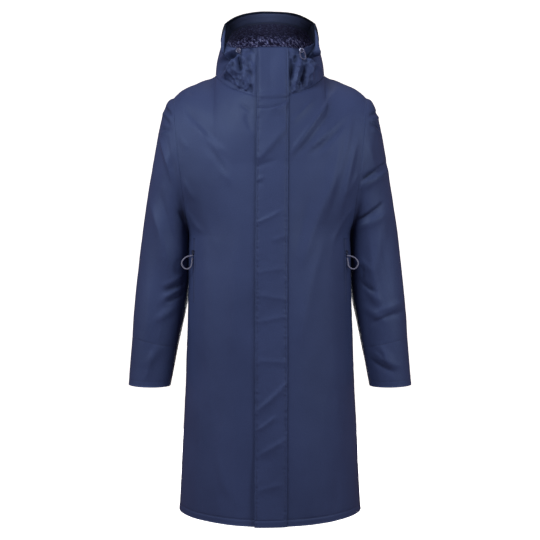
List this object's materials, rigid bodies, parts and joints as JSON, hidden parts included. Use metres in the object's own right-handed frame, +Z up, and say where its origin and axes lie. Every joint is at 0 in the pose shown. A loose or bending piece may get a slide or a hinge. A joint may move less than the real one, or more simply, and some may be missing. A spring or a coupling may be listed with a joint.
{
  "type": "hooded changing robe",
  "caption": "Long hooded changing robe with a full storm flap, deep sleeves, zip pockets with cord pulls and a fleece-lined hood, filled out as worn and hollow.",
  "frame": {"origin": "middle of the neck, at the height where the neck meets the shoulders, where the wearer holds the robe up", "axes": "+Z up, -Y is the robe's front, +X is the wearer's left"},
  "size_m": [0.6936, 0.3076, 1.2056],
  "materials": {
    "shell": "navy coated shell cloth, fine plain weave, low sheen",
    "fleece": "dark navy curly pile fleece",
    "zip": "navy zip tape with moulded teeth",
    "cord": "grey braided cord",
    "metal": "grey satin metal"
  },
  "bodies": {
    "root": {"front_right": "shell", "front_left": "shell", "back": "shell", "sleeve_right": "shell", "sleeve_left": "shell", "hood_side_right": "shell", "hood_side_left": "shell", "hood_centre": "shell", "hood_facing": "shell", "hood_lining": "fleece", "storm_flap": "shell", "front_zip": "zip", "pocket_zip_right": "zip", "pocket_zip_left": "zip", "pocket_slider_right": "metal", "pocket_slider_left": "metal", "pull_loop_right": "cord", "pull_loop_left": "cord", "hood_eyelet_right": "metal", "hood_eyelet_left": "metal", "hood_cord_right": "cord", "hood_cord_left": "cord"}
  },
  "joints": []
}
